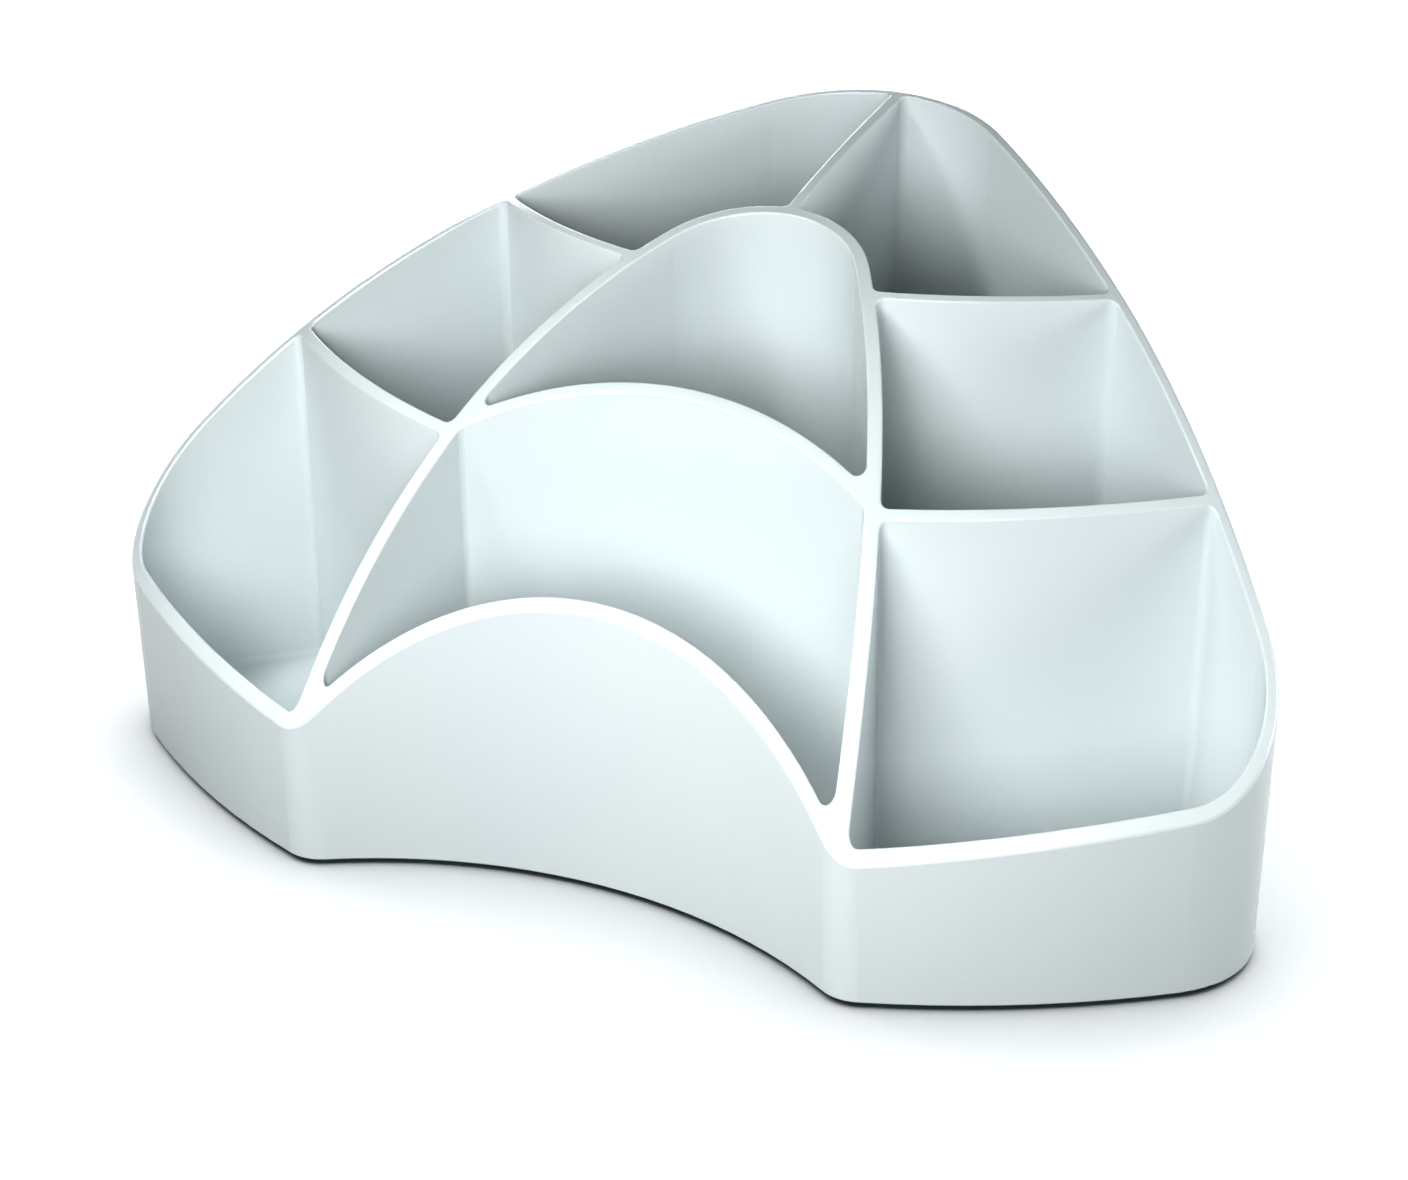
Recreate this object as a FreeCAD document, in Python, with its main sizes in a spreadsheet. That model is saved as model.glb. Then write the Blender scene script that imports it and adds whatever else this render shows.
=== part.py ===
import FreeCAD, Part
import math
import os
import Sketcher

# Desk organizer: one moulded tray with eight compartments, standing on five small feet.
#
# Frame: +Z up, origin on the surface that the feet stand on, under the middle of the tray.
# The bay in the front wall faces -Y and the tall rounded corner is at +Y.  The tray is
# mirror-symmetric about X = 0.  Millimetres and degrees.

doc = FreeCAD.newDocument("desk_organizer")

# ---------------------------------------------------------------- driving dimensions

SIZES = {
    # the moulding
    "outer_wall": 2.2,           # thickness of the wall that goes all the way round
    "floor_thickness": 2.5,
    "outer_draft": 1.0,          # degrees that the outer wall leans outwards
    "inner_draft": 0.25,         # degrees per side that the inner walls taper
    # outline of the underside: three long arcs, three round corners and the bay
    "rear_apex": 71.0,           # how far behind the middle the rear corner reaches
    "rear_radius": 33.8,
    "side_radius": 2200.0,       # the sides are almost straight
    "lobe_span": 183.6,          # between the centres of the two side corners
    "lobe_place": -31.5,
    "lobe_radius": 18.4,
    "front_radius": 168.0,
    "front_corner_round": 8.0,
    "bay_place": -57.8,          # deepest point of the bay in the front wall
    "bay_radius": 95.0,
    # the arch wall, from one front corner over to the other (centre line)
    "arch_apex": 20.9,
    "arch_radius": 22.4,
    "arch_side_radius": 263.0,
    "arch_wall": 3.3,            # inner walls are measured at the floor
    # the crescent wall across the arch (centre line)
    "crescent_place": -24.3,
    "crescent_radius": 97.6,
    "crescent_wall": 3.0,
    # the curved dividers from the arch to the outer wall share one centre (centre lines)
    "divider_centre": 90.4,
    "front_divider_radius": 131.0,
    "rear_divider_radius": 89.5,
    "divider_wall": 2.7,
    "centre_divider_wall": 3.2,
    # the domed top: two tangent arcs, turned about a long axis under the tray
    "dome_knee_place": 27.1,
    "dome_knee_height": 101.5,
    "dome_knee_slope": 11.0,
    "dome_front_radius": 159.0,
    "dome_rear_radius": 442.0,
    "dome_axis_drop": 114.2,
    # rounded edges
    "pocket_corner_round": 1.5,
    "pocket_floor_round": 1.2,
    "rim_inner_round": 0.4,
    "rim_outer_round": 0.9,
    "base_round": 0.4,
    # feet
    "foot_stand": 1.0,           # how far the tray stands clear of the desk
    "foot_radius": 5.0,
    "foot_inset": 14.0,          # from a corner of the outline to the middle of its foot
    "foot_recess": 1.0,
    "foot_clearance": 0.2,
    "foot_chamfer": 0.4,
}

WALL_OF = {
    "crescent": "crescent_wall",
    "front_divider": "divider_wall",
    "rear_divider": "divider_wall",
}
BEYOND = 6.0                     # how far a cutting tool reaches past what it cuts
SMOOTH_TURN = 8.0                # degrees: faces that meet at less than this are one surface
SAME_LEVEL = 0.01                # edges this near to a level lie on it
FLOOR_TOP = "Sizes.foot_stand + Sizes.floor_thickness"

# ---------------------------------------------------------------- places worked out from them

def rightward(point):
    return point[0]


def rearward(point):
    return point[1]


def forward(point):
    return -point[1]


def circles_meet(first, first_radius, second, second_radius, pick):
    """The one of two circles' crossings that lies furthest the way that pick says."""
    away_x = second[0] - first[0]
    away_y = second[1] - first[1]
    apart = math.hypot(away_x, away_y)
    along = (first_radius ** 2 - second_radius ** 2 + apart ** 2) / (2 * apart)
    across = math.sqrt(first_radius ** 2 - along ** 2)
    middle_x = first[0] + along * away_x / apart
    middle_y = first[1] + along * away_y / apart
    points = []
    for sign in (-1, 1):
        x = middle_x - sign * across * away_y / apart
        y = middle_y + sign * across * away_x / apart
        points.append((x, y))
    return max(points, key=pick)


def find_places(size):
    """Places that follow from the driving dimensions: arc centres, and where arcs meet."""
    half_span = size["lobe_span"] / 2
    rear_centre = (0.0, size["rear_apex"] - size["rear_radius"])
    lobe_centre = (half_span, size["lobe_place"])
    side_centre = circles_meet(
        rear_centre, size["side_radius"] - size["rear_radius"],
        lobe_centre, size["side_radius"] - size["lobe_radius"], forward)
    reach = size["front_radius"] - size["lobe_radius"]
    front_centre = (0.0, size["lobe_place"] + math.sqrt(reach ** 2 - half_span ** 2))
    bay_centre = (0.0, size["bay_place"] - size["bay_radius"])
    front_corner = circles_meet(
        front_centre, size["front_radius"], bay_centre, size["bay_radius"], rightward)
    corner_centre = circles_meet(
        front_centre, size["front_radius"] - size["front_corner_round"],
        bay_centre, size["bay_radius"] + size["front_corner_round"], rightward)
    arch_centre = (0.0, size["arch_apex"] - size["arch_radius"])
    arch_side_centre = circles_meet(
        arch_centre, size["arch_side_radius"] - size["arch_radius"],
        front_corner, size["arch_side_radius"], forward)
    slope = math.radians(size["dome_knee_slope"])
    crest = size["dome_knee_height"] + size["dome_rear_radius"] * (1 - math.cos(slope))
    places = {
        "rear_centre": rear_centre,
        "lobe_centre": lobe_centre,
        "side_centre": side_centre,
        "front_centre": front_centre,
        "bay_centre": bay_centre,
        "front_corner": front_corner,
        "corner_centre": corner_centre,
        "arch_centre": arch_centre,
        "arch_side_centre": arch_side_centre,
        "arch_side_x": arch_side_centre[0],
        "arch_foot_y": front_corner[1] - BEYOND,
        "rear_reach": size["rear_apex"] + BEYOND,
        "front_reach": front_corner[1] - BEYOND,
        "tool_height": crest + BEYOND,
        "above_tools": crest + size["lobe_span"],
        "crescent_centre_y": size["crescent_place"] - size["crescent_radius"],
    }
    # each curved wall runs from inside the arch wall to past the far side of its neighbour
    crescent_end = circles_meet(
        (0.0, places["crescent_centre_y"]), size["crescent_radius"],
        arch_side_centre, size["arch_side_radius"], rearward)
    places["crescent_high_x"] = crescent_end[0]
    places["crescent_low_x"] = -crescent_end[0]
    for name in ("front_divider", "rear_divider"):
        centre = (0.0, size["divider_centre"])
        radius = size[name + "_radius"]
        near = circles_meet(centre, radius, arch_side_centre, size["arch_side_radius"], rightward)
        far = circles_meet(centre, radius, side_centre, size["side_radius"] + BEYOND, rightward)
        places[name + "_centre_y"] = centre[1]
        places["right_%s_low_x" % name] = near[0]
        places["right_%s_high_x" % name] = far[0]
        places["left_%s_low_x" % name] = -far[0]
        places["left_%s_high_x" % name] = -near[0]
    return places


def fill_sheet(sheet, values):
    """One row for each value: its name in column A, a plain number with an alias in B."""
    for row, (name, value) in enumerate(values.items(), start=1):
        sheet.set("A%d" % row, name)
        sheet.set("B%d" % row, repr(value))
        sheet.setAlias("B%d" % row, name)


PLACES = find_places(SIZES)
sizes_sheet = doc.addObject("Spreadsheet::Sheet", "Sizes")
fill_sheet(sizes_sheet, SIZES)
places_sheet = doc.addObject("Spreadsheet::Sheet", "Places")
fill_sheet(places_sheet, {
    name: place for name, place in PLACES.items() if isinstance(place, float)})
doc.recompute()


# ---------------------------------------------------------------- sketch helpers

def new_sketch(body, name, role, height=None):
    """A sketch on one of the body's origin planes, lifted by a bound height."""
    plane = [item for item in body.Origin.OriginFeatures if item.Role == role][0]
    sketch = body.newObject("Sketcher::SketchObject", name)
    sketch.AttachmentSupport = [(plane, "")]
    sketch.MapMode = "FlatFace"
    if height:
        sketch.setExpression(".AttachmentOffset.Base.z", height)
    return sketch


def arc_between(sketch, centre, start, end):
    """An anticlockwise arc about centre, from start round to the direction of end."""
    radius = math.hypot(start[0] - centre[0], start[1] - centre[1])
    first = math.atan2(start[1] - centre[1], start[0] - centre[0])
    last = math.atan2(end[1] - centre[1], end[0] - centre[0])
    circle = Part.Circle(FreeCAD.Vector(*centre, 0), FreeCAD.Vector(0, 0, 1), radius)
    return sketch.addGeometry(Part.ArcOfCircle(circle, first, last), False)


def line_between(sketch, start, end, construction=False):
    line = Part.LineSegment(FreeCAD.Vector(*start, 0), FreeCAD.Vector(*end, 0))
    return sketch.addGeometry(line, construction)


def hold(sketch, kind, *where):
    """A constraint without a size of its own."""
    sketch.addConstraint(Sketcher.Constraint(kind, *where))


def bind(sketch, kind, where, value, expression):
    """A dimension driven by the sheets; value is its size now."""
    index = sketch.addConstraint(Sketcher.Constraint(kind, *where, value))
    sketch.setExpression("Constraints[%d]" % index, expression)


START = 1
END = 2
CENTRE = 3
ORIGIN = (-1, 1)
Y_AXIS = -2


def towards(centre, point, radius):
    """The point at this radius from centre, in the direction of point."""
    away = math.hypot(point[0] - centre[0], point[1] - centre[1])
    share = radius / away
    return (centre[0] + share * (point[0] - centre[0]), centre[1] + share * (point[1] - centre[1]))


def flip(point):
    return (-point[0], point[1])


# ---------------------------------------------------------------- outlines

def outline_sketch(body, name, height, inset, inset_expression):
    """The rounded triangle with the bay in its front, set in from the underside's edge."""
    sketch = new_sketch(body, name, "XY_Plane", height)
    rear = PLACES["rear_centre"]
    lobe = PLACES["lobe_centre"]
    side = PLACES["side_centre"]
    front = PLACES["front_centre"]
    bay = PLACES["bay_centre"]
    front_radius = SIZES["front_radius"] - inset
    bay_radius = SIZES["bay_radius"] + inset
    corner = PLACES["corner_centre"]
    corner_radius = SIZES["front_corner_round"] - inset
    bay_to_corner = towards(bay, corner, bay_radius)
    corner_to_front = towards(front, corner, front_radius)
    front_to_lobe = towards(front, lobe, front_radius)
    lobe_to_side = towards(side, lobe, SIZES["side_radius"] - inset)
    side_to_rear = towards(side, rear, SIZES["side_radius"] - inset)
    right_corner = arc_between(sketch, corner, bay_to_corner, corner_to_front)
    right_front = arc_between(sketch, front, corner_to_front, front_to_lobe)
    right_lobe = arc_between(sketch, lobe, front_to_lobe, lobe_to_side)
    right_side = arc_between(sketch, side, lobe_to_side, side_to_rear)
    rear_corner = arc_between(sketch, rear, side_to_rear, flip(side_to_rear))
    left_side = arc_between(sketch, flip(side), flip(side_to_rear), flip(lobe_to_side))
    left_lobe = arc_between(sketch, flip(lobe), flip(lobe_to_side), flip(front_to_lobe))
    left_front = arc_between(sketch, front, flip(front_to_lobe), flip(corner_to_front))
    left_corner = arc_between(sketch, flip(corner), flip(corner_to_front), flip(bay_to_corner))
    bay_arc = arc_between(sketch, bay, bay_to_corner, flip(bay_to_corner))
    round_trip = [right_corner, right_front, right_lobe, right_side, rear_corner,
                  left_side, left_lobe, left_front, left_corner]
    for before, after in zip(round_trip, round_trip[1:]):
        hold(sketch, "Tangent", before, END, after, START)
    hold(sketch, "Tangent", right_corner, START, bay_arc, START)
    hold(sketch, "Tangent", left_corner, END, bay_arc, END)
    hold(sketch, "Coincident", right_front, CENTRE, left_front, CENTRE)
    hold(sketch, "PointOnObject", rear_corner, CENTRE, Y_AXIS)
    hold(sketch, "PointOnObject", bay_arc, CENTRE, Y_AXIS)
    hold(sketch, "Symmetric", right_lobe, CENTRE, left_lobe, CENTRE, Y_AXIS)
    hold(sketch, "Equal", right_corner, left_corner)
    hold(sketch, "Equal", right_front, left_front)
    hold(sketch, "Equal", right_lobe, left_lobe)
    hold(sketch, "Equal", right_side, left_side)
    inwards = " - (%s)" % inset_expression
    bind(sketch, "Radius", (right_corner,), corner_radius, "Sizes.front_corner_round" + inwards)
    bind(sketch, "Radius", (right_front,), front_radius, "Sizes.front_radius" + inwards)
    bind(sketch, "Radius", (right_lobe,), SIZES["lobe_radius"] - inset, "Sizes.lobe_radius" + inwards)
    bind(sketch, "Radius", (right_side,), SIZES["side_radius"] - inset, "Sizes.side_radius" + inwards)
    bind(sketch, "Radius", (rear_corner,), SIZES["rear_radius"] - inset, "Sizes.rear_radius" + inwards)
    bind(sketch, "Radius", (bay_arc,), bay_radius, "Sizes.bay_radius + (%s)" % inset_expression)
    bind(sketch, "DistanceX", (*ORIGIN, right_lobe, CENTRE), lobe[0], "Sizes.lobe_span / 2")
    bind(sketch, "DistanceY", (*ORIGIN, right_lobe, CENTRE), lobe[1], "Sizes.lobe_place")
    bind(sketch, "DistanceY", (*ORIGIN, rear_corner, CENTRE), rear[1],
         "Sizes.rear_apex - Sizes.rear_radius")
    bind(sketch, "DistanceY", (*ORIGIN, bay_arc, CENTRE), bay[1],
         "Sizes.bay_place - Sizes.bay_radius")
    return sketch


# ---------------------------------------------------------------- the compartments

def arch_sketch(body):
    """Plan of the arch wall: an apex arc and two long side arcs, each as a pair."""
    sketch = new_sketch(body, "arch_plan", "XY_Plane", FLOOR_TOP)
    half = SIZES["arch_wall"] / 2
    apex = PLACES["arch_centre"]
    side = PLACES["arch_side_centre"]
    foot_y = PLACES["arch_foot_y"]
    faces = []
    for away, sign in ((-half, "-"), (half, "+")):
        side_radius = SIZES["arch_side_radius"] + away
        foot = (side[0] + math.sqrt(side_radius ** 2 - (foot_y - side[1]) ** 2), foot_y)
        shoulder = towards(side, apex, side_radius)
        apex_arc = arc_between(sketch, apex, shoulder, flip(shoulder))
        right_arc = arc_between(sketch, side, foot, shoulder)
        left_arc = arc_between(sketch, flip(side), flip(shoulder), flip(foot))
        hold(sketch, "Tangent", right_arc, END, apex_arc, START)
        hold(sketch, "Tangent", apex_arc, END, left_arc, START)
        bind(sketch, "Radius", (apex_arc,), SIZES["arch_radius"] + away,
             "Sizes.arch_radius %s Sizes.arch_wall / 2" % sign)
        for arc, end in ((right_arc, START), (left_arc, END)):
            bind(sketch, "DistanceY", (*ORIGIN, arc, end), foot_y, "Places.arch_foot_y")
        faces.append((foot, apex_arc, right_arc, left_arc))
    inner_foot, inner_apex, inner_right, inner_left = faces[0]
    outer_foot, outer_apex, outer_right, outer_left = faces[1]
    right_foot = line_between(sketch, inner_foot, outer_foot)
    left_foot = line_between(sketch, flip(inner_foot), flip(outer_foot))
    hold(sketch, "Coincident", right_foot, START, inner_right, START)
    hold(sketch, "Coincident", right_foot, END, outer_right, START)
    hold(sketch, "Coincident", left_foot, START, inner_left, END)
    hold(sketch, "Coincident", left_foot, END, outer_left, END)
    hold(sketch, "Coincident", outer_apex, CENTRE, inner_apex, CENTRE)
    hold(sketch, "Coincident", outer_right, CENTRE, inner_right, CENTRE)
    hold(sketch, "Coincident", outer_left, CENTRE, inner_left, CENTRE)
    hold(sketch, "PointOnObject", inner_apex, CENTRE, Y_AXIS)
    hold(sketch, "Symmetric", inner_right, CENTRE, inner_left, CENTRE, Y_AXIS)
    bind(sketch, "Radius", (inner_right,), SIZES["arch_side_radius"] - half,
         "Sizes.arch_side_radius - Sizes.arch_wall / 2")
    bind(sketch, "DistanceY", (*ORIGIN, inner_apex, CENTRE), apex[1],
         "Sizes.arch_apex - Sizes.arch_radius")
    bind(sketch, "DistanceX", (*ORIGIN, inner_right, CENTRE), side[0], "Places.arch_side_x")
    return sketch


def curved_wall_sketch(body, name, side, low_x, high_x):
    """Plan of a curved wall: two arcs about one centre on the Y axis, cut off at two X.

    name is the start of the wall's names in the sheets, and side is 1 where the wall lies
    behind its centre and -1 where it lies in front.
    """
    sketch = new_sketch(body, name + "_plan", "XY_Plane", FLOOR_TOP)
    centre = (0.0, PLACES[name + "_centre_y"])
    half = SIZES[WALL_OF[name]] / 2
    arcs = []
    for away in (-half, half):
        radius = SIZES[name + "_radius"] + away
        ends = []
        for x in (PLACES[low_x], PLACES[high_x]):
            ends.append((x, centre[1] + side * math.sqrt(radius ** 2 - x ** 2)))
        if side > 0:
            ends.reverse()
        arc = arc_between(sketch, centre, *ends)
        sign = "-" if away < 0 else "+"
        bind(sketch, "Radius", (arc,), radius,
             "Sizes.%s_radius %s Sizes.%s / 2" % (name, sign, WALL_OF[name]))
        arcs.append((arc, ends))
    inner_arc, inner_ends = arcs[0]
    outer_arc, outer_ends = arcs[1]
    cuts = [(START, low_x), (END, high_x)]
    if side > 0:
        cuts = [(START, high_x), (END, low_x)]
    for (end, place), inner_end, outer_end in zip(cuts, inner_ends, outer_ends):
        cut = line_between(sketch, inner_end, outer_end)
        hold(sketch, "Coincident", cut, START, inner_arc, end)
        hold(sketch, "Coincident", cut, END, outer_arc, end)
        hold(sketch, "Vertical", cut)
        bind(sketch, "DistanceX", (*ORIGIN, inner_arc, end), inner_end[0], "Places." + place)
    hold(sketch, "Coincident", outer_arc, CENTRE, inner_arc, CENTRE)
    hold(sketch, "PointOnObject", inner_arc, CENTRE, Y_AXIS)
    bind(sketch, "DistanceY", (*ORIGIN, inner_arc, CENTRE), centre[1], "Places.%s_centre_y" % name)
    return sketch


def straight_wall_sketch(body):
    """Plan of the rear wall on the middle line, from inside the arch to past the rear corner."""
    sketch = new_sketch(body, "centre_divider_plan", "XY_Plane", FLOOR_TOP)
    half = SIZES["centre_divider_wall"] / 2
    front = SIZES["arch_apex"]
    rear = SIZES["rear_apex"] + BEYOND
    corners = [(-half, front), (half, front), (half, rear), (-half, rear)]
    sides = []
    for start, end in zip(corners, corners[1:] + corners[:1]):
        sides.append(line_between(sketch, start, end))
    for before, after in zip(sides, sides[1:] + sides[:1]):
        hold(sketch, "Coincident", before, END, after, START)
    for side in sides[::2]:
        hold(sketch, "Horizontal", side)
    for side in sides[1::2]:
        hold(sketch, "Vertical", side)
    bind(sketch, "DistanceX", (*ORIGIN, sides[1], START), half, "Sizes.centre_divider_wall / 2")
    bind(sketch, "DistanceX", (*ORIGIN, sides[3], START), -half, "-Sizes.centre_divider_wall / 2")
    bind(sketch, "DistanceY", (*ORIGIN, sides[0], START), front, "Sizes.arch_apex")
    bind(sketch, "DistanceY", (*ORIGIN, sides[2], START), rear, "Places.rear_reach")
    return sketch


# ---------------------------------------------------------------- features

def turn_across(shape, edge):
    """Degrees between the two faces' normals at the middle of an edge: 0 on a smooth seam."""
    middle = edge.valueAt((edge.FirstParameter + edge.LastParameter) / 2)
    normals = []
    for face in shape.ancestorsOfType(edge, Part.Face):
        normals.append(face.normalAt(*face.Surface.parameter(middle)))
    if len(normals) < 2:
        return 0.0
    return math.degrees(normals[0].getAngle(normals[1]))


def is_sharp_upright(shape, edge):
    """True for a sharp edge that runs up a corner, from one height to another."""
    heights = [vertex.Z for vertex in edge.Vertexes]
    climbs = max(heights) - min(heights) > SIZES["floor_thickness"] * 2
    return climbs and turn_across(shape, edge) > SMOOTH_TURN


def edge_names(shape, wanted):
    """Names of the shape's edges for which wanted(shape, edge) is true."""
    numbered = enumerate(shape.Edges, start=1)
    return ["Edge%d" % number for number, edge in numbered if wanted(shape, edge)]


def add_pad(body, name, sketch, length, draft):
    pad = body.newObject("PartDesign::Pad", name)
    pad.Profile = sketch
    pad.setExpression("Length", length)
    pad.setExpression("TaperAngle", draft)
    doc.recompute()
    return pad


def leave_wall(body, name, sketch):
    """Take one wall out of the compartments' tool, so that the wall stays in the tray."""
    before = body.Shape.Volume
    wall = body.newObject("PartDesign::Pocket", name)
    wall.Profile = sketch
    wall.Reversed = True
    wall.setExpression("Length", "Places.tool_height")
    wall.setExpression("TaperAngle", "-Sizes.inner_draft")
    doc.recompute()
    check_cut(name, before, wall.Shape.Volume)
    return wall


def check_cut(name, before, after):
    """A cut that points away from the solid shows no error, so its volume is compared."""
    if after >= before:
        raise RuntimeError("%s cut nothing" % name)


def round_edges(body, name, base, wanted, radius):
    """A fillet on every edge of the base feature that wanted() picks."""
    fillet = body.newObject("PartDesign::Fillet", name)
    fillet.Base = (base, edge_names(base.Shape, wanted))
    fillet.setExpression("Radius", radius)
    doc.recompute()
    return fillet


# ---------------------------------------------------------------- the eight compartments

def make_compartments():
    """The tool that hollows the tray: the whole inside, less the inner walls."""
    body = doc.addObject("PartDesign::Body", "compartments")
    body.AllowCompound = True
    draft = math.tan(math.radians(SIZES["outer_draft"]))
    inset = SIZES["outer_wall"] - SIZES["floor_thickness"] * draft
    inset_expression = "Sizes.outer_wall - Sizes.floor_thickness * tan(Sizes.outer_draft * 1 deg)"
    inside = outline_sketch(body, "inside_plan", FLOOR_TOP, inset, inset_expression)
    add_pad(body, "inside", inside, "Places.tool_height", "Sizes.outer_draft")
    leave_wall(body, "arch", arch_sketch(body))
    crescent = curved_wall_sketch(body, "crescent", 1, "crescent_low_x", "crescent_high_x")
    leave_wall(body, "crescent", crescent)
    for name in ("front_divider", "rear_divider"):
        for hand in ("right", "left"):
            low_x = "%s_%s_low_x" % (hand, name)
            high_x = "%s_%s_high_x" % (hand, name)
            leave_wall(body, hand + "_" + name, curved_wall_sketch(body, name, -1, low_x, high_x))
    last_wall = leave_wall(body, "centre_divider", straight_wall_sketch(body))
    corners = round_edges(body, "corners", last_wall, is_sharp_upright, "Sizes.pocket_corner_round")
    floor_z = SIZES["foot_stand"] + SIZES["floor_thickness"]

    def at_floor(shape, edge):
        return abs(edge.BoundBox.ZMax - floor_z) < SAME_LEVEL

    round_edges(body, "floor_edges", corners, at_floor, "Sizes.pocket_floor_round")
    return body


# ---------------------------------------------------------------- the tray

def dome_sketch(body):
    """Section of what lies above the domed top, to be turned about the axis under the tray."""
    sketch = new_sketch(body, "dome_section", "YZ_Plane")
    slope = math.radians(SIZES["dome_knee_slope"])
    axis_z = SIZES["foot_stand"] - SIZES["dome_axis_drop"]
    knee = (SIZES["dome_knee_place"], SIZES["foot_stand"] + SIZES["dome_knee_height"])
    ends_y = (PLACES["front_reach"], PLACES["rear_reach"])
    ends = []
    centres = []
    for end_y, radius_name in zip(ends_y, ("dome_front_radius", "dome_rear_radius")):
        radius = SIZES[radius_name]
        centre = (knee[0] + radius * math.sin(slope), knee[1] - radius * math.cos(slope))
        centres.append(centre)
        ends.append((end_y, centre[1] + math.sqrt(radius ** 2 - (end_y - centre[0]) ** 2)))
    top_z = PLACES["above_tools"]
    axis = line_between(sketch, (ends_y[0], axis_z), (ends_y[1], axis_z), construction=True)
    rear_arc = arc_between(sketch, centres[1], ends[1], knee)
    front_arc = arc_between(sketch, centres[0], knee, ends[0])
    front_edge = line_between(sketch, ends[0], (ends_y[0], top_z))
    top_edge = line_between(sketch, (ends_y[0], top_z), (ends_y[1], top_z))
    rear_edge = line_between(sketch, (ends_y[1], top_z), ends[1])
    hold(sketch, "Tangent", rear_arc, END, front_arc, START)
    hold(sketch, "Coincident", front_arc, END, front_edge, START)
    hold(sketch, "Coincident", front_edge, END, top_edge, START)
    hold(sketch, "Coincident", top_edge, END, rear_edge, START)
    hold(sketch, "Coincident", rear_edge, END, rear_arc, START)
    hold(sketch, "Vertical", front_edge)
    hold(sketch, "Vertical", rear_edge)
    hold(sketch, "Horizontal", top_edge)
    hold(sketch, "Horizontal", axis)
    bind(sketch, "Radius", (front_arc,), SIZES["dome_front_radius"], "Sizes.dome_front_radius")
    bind(sketch, "Radius", (rear_arc,), SIZES["dome_rear_radius"], "Sizes.dome_rear_radius")
    bind(sketch, "DistanceX", (*ORIGIN, front_arc, START), knee[0], "Sizes.dome_knee_place")
    bind(sketch, "DistanceY", (*ORIGIN, front_arc, START), knee[1],
         "Sizes.foot_stand + Sizes.dome_knee_height")
    bind(sketch, "DistanceX", (front_arc, START, front_arc, CENTRE), centres[0][0] - knee[0],
         "Sizes.dome_front_radius * sin(Sizes.dome_knee_slope * 1 deg)")
    bind(sketch, "DistanceX", (*ORIGIN, front_edge, START), ends_y[0], "Places.front_reach")
    bind(sketch, "DistanceX", (*ORIGIN, rear_edge, START), ends_y[1], "Places.rear_reach")
    bind(sketch, "DistanceY", (*ORIGIN, top_edge, START), top_z, "Places.above_tools")
    bind(sketch, "DistanceY", (*ORIGIN, axis, START), axis_z,
         "Sizes.foot_stand - Sizes.dome_axis_drop")
    bind(sketch, "DistanceX", (*ORIGIN, axis, START), ends_y[0], "Places.front_reach")
    bind(sketch, "DistanceX", (*ORIGIN, axis, END), ends_y[1], "Places.rear_reach")
    return sketch


def find_foot_places():
    """Two feet under the front corners, two under the side corners and one at the rear."""
    corner_x, corner_y = PLACES["front_corner"]
    lobe_x, lobe_y = PLACES["lobe_centre"]
    inset = SIZES["foot_inset"]
    return {
        "foot_front_right": (corner_x, corner_y + inset),
        "foot_front_left": (-corner_x, corner_y + inset),
        "foot_side_right": (lobe_x, lobe_y),
        "foot_side_left": (-lobe_x, lobe_y),
        "foot_rear": (0.0, SIZES["rear_apex"] - inset),
    }


FOOT_PLACES = find_foot_places()
feet_sheet = doc.addObject("Spreadsheet::Sheet", "FootPlaces")
foot_cells = {}
for foot_name, (foot_x, foot_y) in FOOT_PLACES.items():
    foot_cells[foot_name + "_x"] = foot_x
    foot_cells[foot_name + "_y"] = foot_y
fill_sheet(feet_sheet, foot_cells)
doc.recompute()


def recess_sketch(body):
    """A round recess in the underside for each foot."""
    sketch = new_sketch(body, "foot_recesses_plan", "XY_Plane", "Sizes.foot_stand")
    radius = SIZES["foot_radius"] + SIZES["foot_clearance"]
    for name, place in FOOT_PLACES.items():
        circle = Part.Circle(FreeCAD.Vector(*place, 0), FreeCAD.Vector(0, 0, 1), radius)
        rim = sketch.addGeometry(circle, False)
        bind(sketch, "Radius", (rim,), radius, "Sizes.foot_radius + Sizes.foot_clearance")
        bind(sketch, "DistanceX", (*ORIGIN, rim, CENTRE), place[0], "FootPlaces.%s_x" % name)
        bind(sketch, "DistanceY", (*ORIGIN, rim, CENTRE), place[1], "FootPlaces.%s_y" % name)
    return sketch


def is_dome(face):
    return face.Surface.TypeId == "Part::GeomSurfaceOfRevolution"


def is_rim(shape, edge):
    """True where the domed top ends at a wall."""
    domed = [face for face in shape.ancestorsOfType(edge, Part.Face) if is_dome(face)]
    return len(domed) == 1 and turn_across(shape, edge) > SMOOTH_TURN


def is_outer_rim(shape, edge):
    """True for a rim edge whose wall goes right down to the underside."""
    if not is_rim(shape, edge):
        return False
    wall = [face for face in shape.ancestorsOfType(edge, Part.Face) if not is_dome(face)][0]
    lowest = min(vertex.Z for vertex in wall.Vertexes)
    return lowest < SIZES["foot_stand"] + SIZES["floor_thickness"] / 2


def is_inner_rim(shape, edge):
    return is_rim(shape, edge) and not is_outer_rim(shape, edge)


def is_base_edge(shape, edge):
    """True for the outer edge of the underside, but not for the rims of the recesses."""
    return abs(edge.BoundBox.ZMax - SIZES["foot_stand"]) < SAME_LEVEL and not edge.isClosed()


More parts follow.
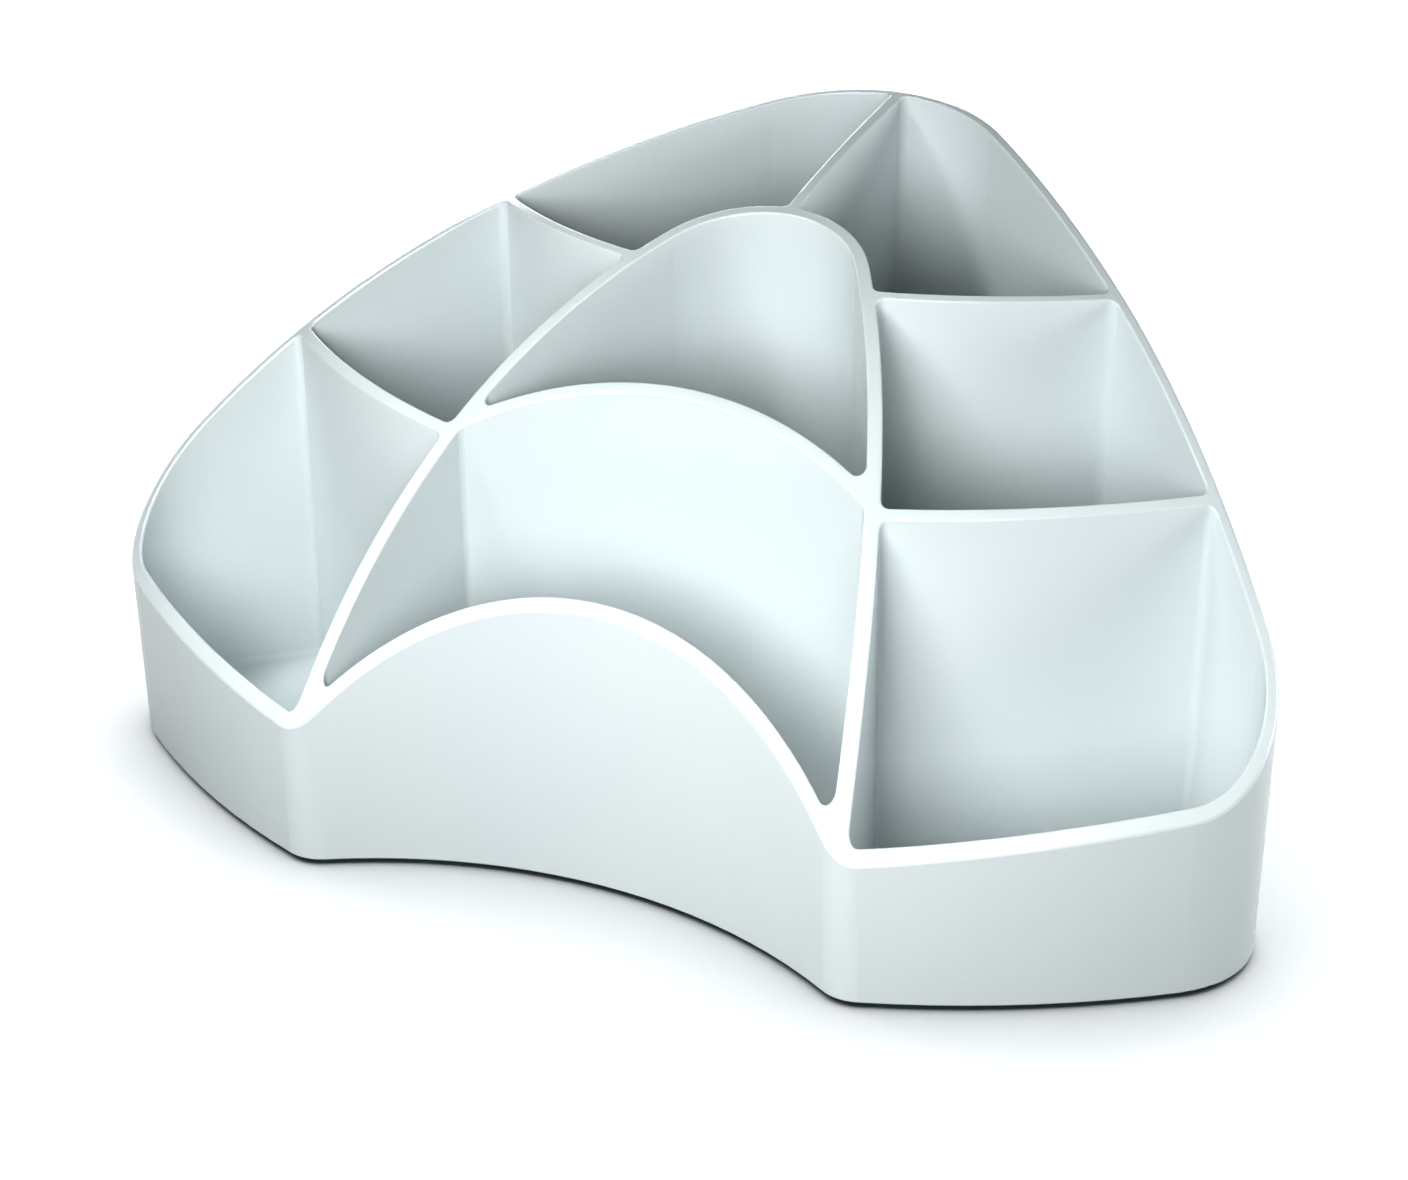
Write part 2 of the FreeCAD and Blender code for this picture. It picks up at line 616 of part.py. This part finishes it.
def make_tray(compartments):
    """The one-piece moulding: outer wall, floor and inner walls under a domed rim."""
    body = doc.addObject("PartDesign::Body", "tray_body")
    body.Label = "tray"
    outside = outline_sketch(body, "outside_plan", "Sizes.foot_stand", 0.0, "0")
    block = add_pad(body, "block", outside, "Places.tool_height", "Sizes.outer_draft")
    dome = body.newObject("PartDesign::Groove", "dome")
    dome.Profile = dome_sketch(body)
    dome.ReferenceAxis = (dome.Profile[0], ["Axis0"])
    dome.Angle = 360
    doc.recompute()
    check_cut("dome", block.Shape.Volume, dome.Shape.Volume)
    recesses = body.newObject("PartDesign::Pocket", "foot_recesses")
    recesses.Profile = recess_sketch(body)
    recesses.Reversed = True
    recesses.setExpression("Length", "Sizes.foot_recess")
    doc.recompute()
    check_cut("foot_recesses", dome.Shape.Volume, recesses.Shape.Volume)
    hollow = body.newObject("PartDesign::Boolean", "hollow")
    hollow.Type = "Cut"
    hollow.setObjects([compartments])
    doc.recompute()
    check_cut("hollow", recesses.Shape.Volume, hollow.Shape.Volume)
    inner_rims = round_edges(body, "inner_rims", hollow, is_inner_rim, "Sizes.rim_inner_round")
    outer_rim = round_edges(body, "outer_rim", inner_rims, is_outer_rim, "Sizes.rim_outer_round")
    round_edges(body, "base_edge", outer_rim, is_base_edge, "Sizes.base_round")
    return body


# ---------------------------------------------------------------- the feet

def make_foot(name):
    """A soft round pad, pressed up into its recess and chamfered where it meets the desk."""
    body = doc.addObject("PartDesign::Body", name + "_body")
    body.Label = name
    plan = new_sketch(body, name + "_plan", "XY_Plane")
    circle = Part.Circle(FreeCAD.Vector(0, 0, 0), FreeCAD.Vector(0, 0, 1), SIZES["foot_radius"])
    rim = plan.addGeometry(circle, False)
    hold(plan, "Coincident", rim, CENTRE, *ORIGIN)
    bind(plan, "Radius", (rim,), SIZES["foot_radius"], "Sizes.foot_radius")
    pad = add_pad(body, name + "_pad", plan, "Sizes.foot_stand + Sizes.foot_recess", "0")
    chamfer = body.newObject("PartDesign::Chamfer", name + "_chamfer")

    def at_desk(shape, edge):
        return edge.BoundBox.ZMax < SIZES["foot_stand"] / 2

    chamfer.Base = (pad, edge_names(pad.Shape, at_desk))
    chamfer.setExpression("Size", "Sizes.foot_chamfer")
    body.setExpression("Placement.Base.x", "FootPlaces.%s_x" % name)
    body.setExpression("Placement.Base.y", "FootPlaces.%s_y" % name)
    doc.recompute()
    return body


# ---------------------------------------------------------------- build, check and write

def check_document(parts):
    for item in doc.Objects:
        if "Invalid" in item.State or "Error" in item.State:
            raise RuntimeError("%s failed: %s" % (item.Label, item.State))
    for part in parts:
        if part.Shape.isNull() or not part.Shape.isValid():
            raise RuntimeError("%s has no valid shape" % part.Label)
        if len(part.Shape.Solids) != 1:
            raise RuntimeError("%s is not one solid" % part.Label)


def write_parts(parts):
    os.makedirs("parts", exist_ok=True)
    for part in parts:
        part.Shape.exportStep(os.path.join("parts", part.Label + ".step"))


sub_parts = [make_tray(make_compartments())]
for foot_name in FOOT_PLACES:
    sub_parts.append(make_foot(foot_name))
doc.recompute()
check_document(sub_parts)
write_parts(sub_parts)
for sub_part in sub_parts:
    box = sub_part.Shape.optimalBoundingBox()
    print("%-18s volume %9.1f mm3, z %.2f to %.2f" % (
        sub_part.Label, sub_part.Shape.Volume, box.ZMin, box.ZMax))
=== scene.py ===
import math

import bpy
from mathutils import Matrix, Vector

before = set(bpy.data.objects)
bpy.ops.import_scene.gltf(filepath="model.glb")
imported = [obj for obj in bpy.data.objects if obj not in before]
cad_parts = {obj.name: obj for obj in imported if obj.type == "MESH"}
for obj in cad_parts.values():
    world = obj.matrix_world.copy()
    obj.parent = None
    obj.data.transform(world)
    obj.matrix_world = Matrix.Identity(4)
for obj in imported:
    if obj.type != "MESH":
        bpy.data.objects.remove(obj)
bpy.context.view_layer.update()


# ---------------------------------------------------------------- tray
# The tray is one injection moulding in gloss white polystyrene: outer wall, floor, arch,
# crescent and dividers together.  The steel of the mould is polished, so the skin is
# smooth, with a faint ripple where the plastic flowed and shrank.

WHITE_SKIN = (0.745, 0.79, 0.795, 1.0)
PALE_SKIN = (0.715, 0.768, 0.775, 1.0)
SKIN_BLOTCH = 0.060
GLOSS_BLOTCH = 0.030
GLOSSIEST, DULLEST = 0.22, 0.27
RIPPLE_LENGTH, RIPPLE_HEIGHT = 0.012, 0.00001
GRAIN_LENGTH, GRAIN_HEIGHT = 0.0006, 0.000002
POLYSTYRENE_IOR = 1.50


def new_finish(name):
    """An empty material of that name, with its shader ready."""
    finish = bpy.data.materials.new(name)
    finish.use_nodes = True
    return finish, finish.node_tree.nodes["Principled BSDF"]


def unevenness(finish, size, detail):
    """A soft random pattern whose blotches are about that size, in metres."""
    tree = finish.node_tree
    place = tree.nodes.new("ShaderNodeTexCoord")
    noise = tree.nodes.new("ShaderNodeTexNoise")
    noise.inputs["Scale"].default_value = 1.0 / size
    noise.inputs["Detail"].default_value = detail
    tree.links.new(place.outputs["Object"], noise.inputs["Vector"])
    return noise.outputs["Fac"]


def between(finish, pattern, low, high):
    """The pattern as a number from low to high."""
    tree = finish.node_tree
    spread = tree.nodes.new("ShaderNodeMapRange")
    spread.inputs["To Min"].default_value = low
    spread.inputs["To Max"].default_value = high
    tree.links.new(pattern, spread.inputs["Value"])
    return spread.outputs["Result"]


def tint(finish, pattern, one, other):
    """The pattern as a colour from one to the other."""
    tree = finish.node_tree
    ramp = tree.nodes.new("ShaderNodeValToRGB")
    start, end = ramp.color_ramp.elements
    start.position, start.color = 0.3, one
    end.position, end.color = 0.7, other
    tree.links.new(pattern, ramp.inputs["Fac"])
    return ramp.outputs["Color"]


def relief(finish, pattern, height, under=None):
    """The pattern as a relief of that height in metres, on top of the relief under it."""
    tree = finish.node_tree
    bump = tree.nodes.new("ShaderNodeBump")
    bump.inputs["Distance"].default_value = height
    tree.links.new(pattern, bump.inputs["Height"])
    if under is not None:
        tree.links.new(under, bump.inputs["Normal"])
    return bump.outputs["Normal"]


plastic, skin = new_finish("gloss_white_plastic")
cloud = unevenness(plastic, size=SKIN_BLOTCH, detail=2.0)
sheen = unevenness(plastic, size=GLOSS_BLOTCH, detail=0.0)
ripple = unevenness(plastic, size=RIPPLE_LENGTH, detail=1.0)
grain = unevenness(plastic, size=GRAIN_LENGTH, detail=2.0)
colour = tint(plastic, cloud, PALE_SKIN, WHITE_SKIN)
dullness = between(plastic, sheen, GLOSSIEST, DULLEST)
flow_marks = relief(plastic, ripple, RIPPLE_HEIGHT)
moulded_skin = relief(plastic, grain, GRAIN_HEIGHT, under=flow_marks)
plastic.node_tree.links.new(colour, skin.inputs["Base Color"])
plastic.node_tree.links.new(dullness, skin.inputs["Roughness"])
plastic.node_tree.links.new(moulded_skin, skin.inputs["Normal"])
skin.inputs["IOR"].default_value = POLYSTYRENE_IOR

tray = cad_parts["tray"]
tray.data.materials.clear()
tray.data.materials.append(plastic)


# ---------------------------------------------------------------- feet
# Five round pads of soft grey rubber, die-cut from sheet, stuck up into shallow recesses
# in the underside so that the tray stays where it is put.

DARK_RUBBER = (0.13, 0.135, 0.14, 1.0)
WORN_RUBBER = (0.19, 0.195, 0.20, 1.0)
BLOOM_BLOTCH = 0.003
SMOOTH_PAD, ROUGH_PAD = 0.62, 0.80
PORE_WIDTH, PORE_DEPTH = 0.0004, 0.00005

rubber, pad_skin = new_finish("soft_grey_rubber")
bloom = unevenness(rubber, size=BLOOM_BLOTCH, detail=3.0)
pores = unevenness(rubber, size=PORE_WIDTH, detail=3.0)
pad_colour = tint(rubber, bloom, DARK_RUBBER, WORN_RUBBER)
pad_dullness = between(rubber, bloom, SMOOTH_PAD, ROUGH_PAD)
rubber.node_tree.links.new(pad_colour, pad_skin.inputs["Base Color"])
rubber.node_tree.links.new(pad_dullness, pad_skin.inputs["Roughness"])
rubber.node_tree.links.new(relief(rubber, pores, PORE_DEPTH), pad_skin.inputs["Normal"])

for name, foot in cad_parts.items():
    if name.startswith("foot_"):
        foot.data.materials.clear()
        foot.data.materials.append(rubber)


# ---------------------------------------------------------------- desk
# A plain matt white surface, wide enough to fill the view, with its top at the undersides
# of the feet.  A large soft light overhead is its own, and leaves a soft shadow on it.

DESK_HALF = 4.0
DESK_WHITE = (0.93, 0.94, 0.95, 1.0)
DESK_ROUGHNESS = 0.9
DESK_SHINE = 0.1

desk_mesh = bpy.data.meshes.new("desk")
corners = [(-DESK_HALF, -DESK_HALF, 0.0), (DESK_HALF, -DESK_HALF, 0.0),
           (DESK_HALF, DESK_HALF, 0.0), (-DESK_HALF, DESK_HALF, 0.0)]
desk_mesh.from_pydata(corners, [], [(0, 1, 2, 3)])
desk = bpy.data.objects.new("desk", desk_mesh)
desk.visible_diffuse = False
paper, desk_skin = new_finish("matt_white_desk")
desk_skin.inputs["Base Color"].default_value = DESK_WHITE
desk_skin.inputs["Roughness"].default_value = DESK_ROUGHNESS
desk_skin.inputs["Specular IOR Level"].default_value = DESK_SHINE
desk_mesh.materials.append(paper)
desk_only = bpy.data.collections.new("desk_only")
desk_only.objects.link(desk)
bpy.context.scene.collection.children.link(desk_only)

organizer_only = bpy.data.collections.new("organizer_only")
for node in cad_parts.values():
    organizer_only.objects.link(node)


POCKETS_MIDDLE = (0.0, -0.03, 0.04)


def direction(azimuth, elevation):
    """The way out from the organizer, in degrees: azimuth 0 is in front, 90 on the right."""
    turn, climb = math.radians(azimuth), math.radians(elevation)
    level = math.cos(climb)
    return Vector((math.sin(turn) * level, -math.cos(turn) * level, math.sin(climb)))


def soft_light(name, lit, azimuth, elevation, distance, size, power,
               aim=POCKETS_MIDDLE, spread=180):
    """A square soft light on one collection, with its power in watts."""
    away = direction(azimuth, elevation)
    lamp = bpy.data.lights.new(name, "AREA")
    lamp.size = size
    lamp.energy = power
    lamp.spread = math.radians(spread)
    light = bpy.data.objects.new(name, lamp)
    light.location = Vector(aim) + away * distance
    light.rotation_mode = "QUATERNION"
    light.rotation_quaternion = away.to_track_quat("Z", "Y")
    light.light_linking.receiver_collection = lit
    light.visible_camera = False
    bpy.context.scene.collection.objects.link(light)


soft_light("desk_light", desk_only, azimuth=-150, elevation=78,
           distance=5.0, size=10.0, power=700)


# ---------------------------------------------------------------- studio light
# The organizer is lit from close in front, so that the bay and the arch are bright and the
# deep pockets behind fall away; small lights pick out the corner, the sides and the back.

LEFT_FRONT_POCKET = (-0.04, -0.045, 0.02)
ROOM_GREY = (0.70, 0.93, 1.0, 1.0)
ROOM_BRIGHTNESS = 0.07

soft_light("front_light", organizer_only, azimuth=28, elevation=20,
           distance=0.40, size=0.20, power=0.62)
soft_light("high_front_light", organizer_only, azimuth=5, elevation=30,
           distance=0.36, size=0.20, power=1.0)
soft_light("corner_light", organizer_only, azimuth=-55, elevation=58,
           distance=0.50, size=0.10, power=0.13, aim=LEFT_FRONT_POCKET, spread=60)
soft_light("side_light", organizer_only, azimuth=90, elevation=40,
           distance=0.60, size=0.30, power=0.10)
soft_light("right_back_light", organizer_only, azimuth=118, elevation=8,
           distance=0.60, size=0.35, power=2.6)
soft_light("left_back_light", organizer_only, azimuth=-150, elevation=8,
           distance=0.60, size=0.35, power=2.6)

room = bpy.data.worlds.new("white_room")
room.use_nodes = True
walls = room.node_tree.nodes["Background"]
walls.inputs["Color"].default_value = ROOM_GREY
walls.inputs["Strength"].default_value = ROOM_BRIGHTNESS
bpy.context.scene.world = room


# ---------------------------------------------------------------- camera
# Seen from the front right and a little above, from about 0.6 m, with a slight tilt.

CAMERA_AZIMUTH = 26.313
CAMERA_ELEVATION = 26.592
CAMERA_DISTANCE = 0.5935
CAMERA_ROLL = math.radians(-0.481)
CAMERA_AIM = Vector((-0.00749, -0.0006, 0.0320))
FOCAL_LENGTH = 80.93
SENSOR_WIDTH = 36.0
SHADE_DEPTH = 0.72

back = direction(CAMERA_AZIMUTH, CAMERA_ELEVATION)
right = Vector((0, 0, 1)).cross(back).normalized()
up = back.cross(right)
tilted_right = math.cos(CAMERA_ROLL) * right + math.sin(CAMERA_ROLL) * up
tilted_up = back.cross(tilted_right)
stand = CAMERA_AIM + back * CAMERA_DISTANCE
lens = bpy.data.cameras.new("camera")
lens.lens = FOCAL_LENGTH
lens.sensor_width = SENSOR_WIDTH
lens.sensor_fit = "HORIZONTAL"
lens.clip_start = 0.05
lens.clip_end = 20.0
camera = bpy.data.objects.new("camera", lens)
camera.matrix_world = Matrix((
    (tilted_right.x, tilted_up.x, back.x, stand.x),
    (tilted_right.y, tilted_up.y, back.y, stand.y),
    (tilted_right.z, tilted_up.z, back.z, stand.z),
    (0.0, 0.0, 0.0, 1.0)))
bpy.context.scene.collection.objects.link(camera)
bpy.context.scene.camera = camera
bpy.context.scene.view_settings.view_transform = "Standard"
bpy.context.scene.view_settings.gamma = SHADE_DEPTH

bpy.context.view_layer.update()
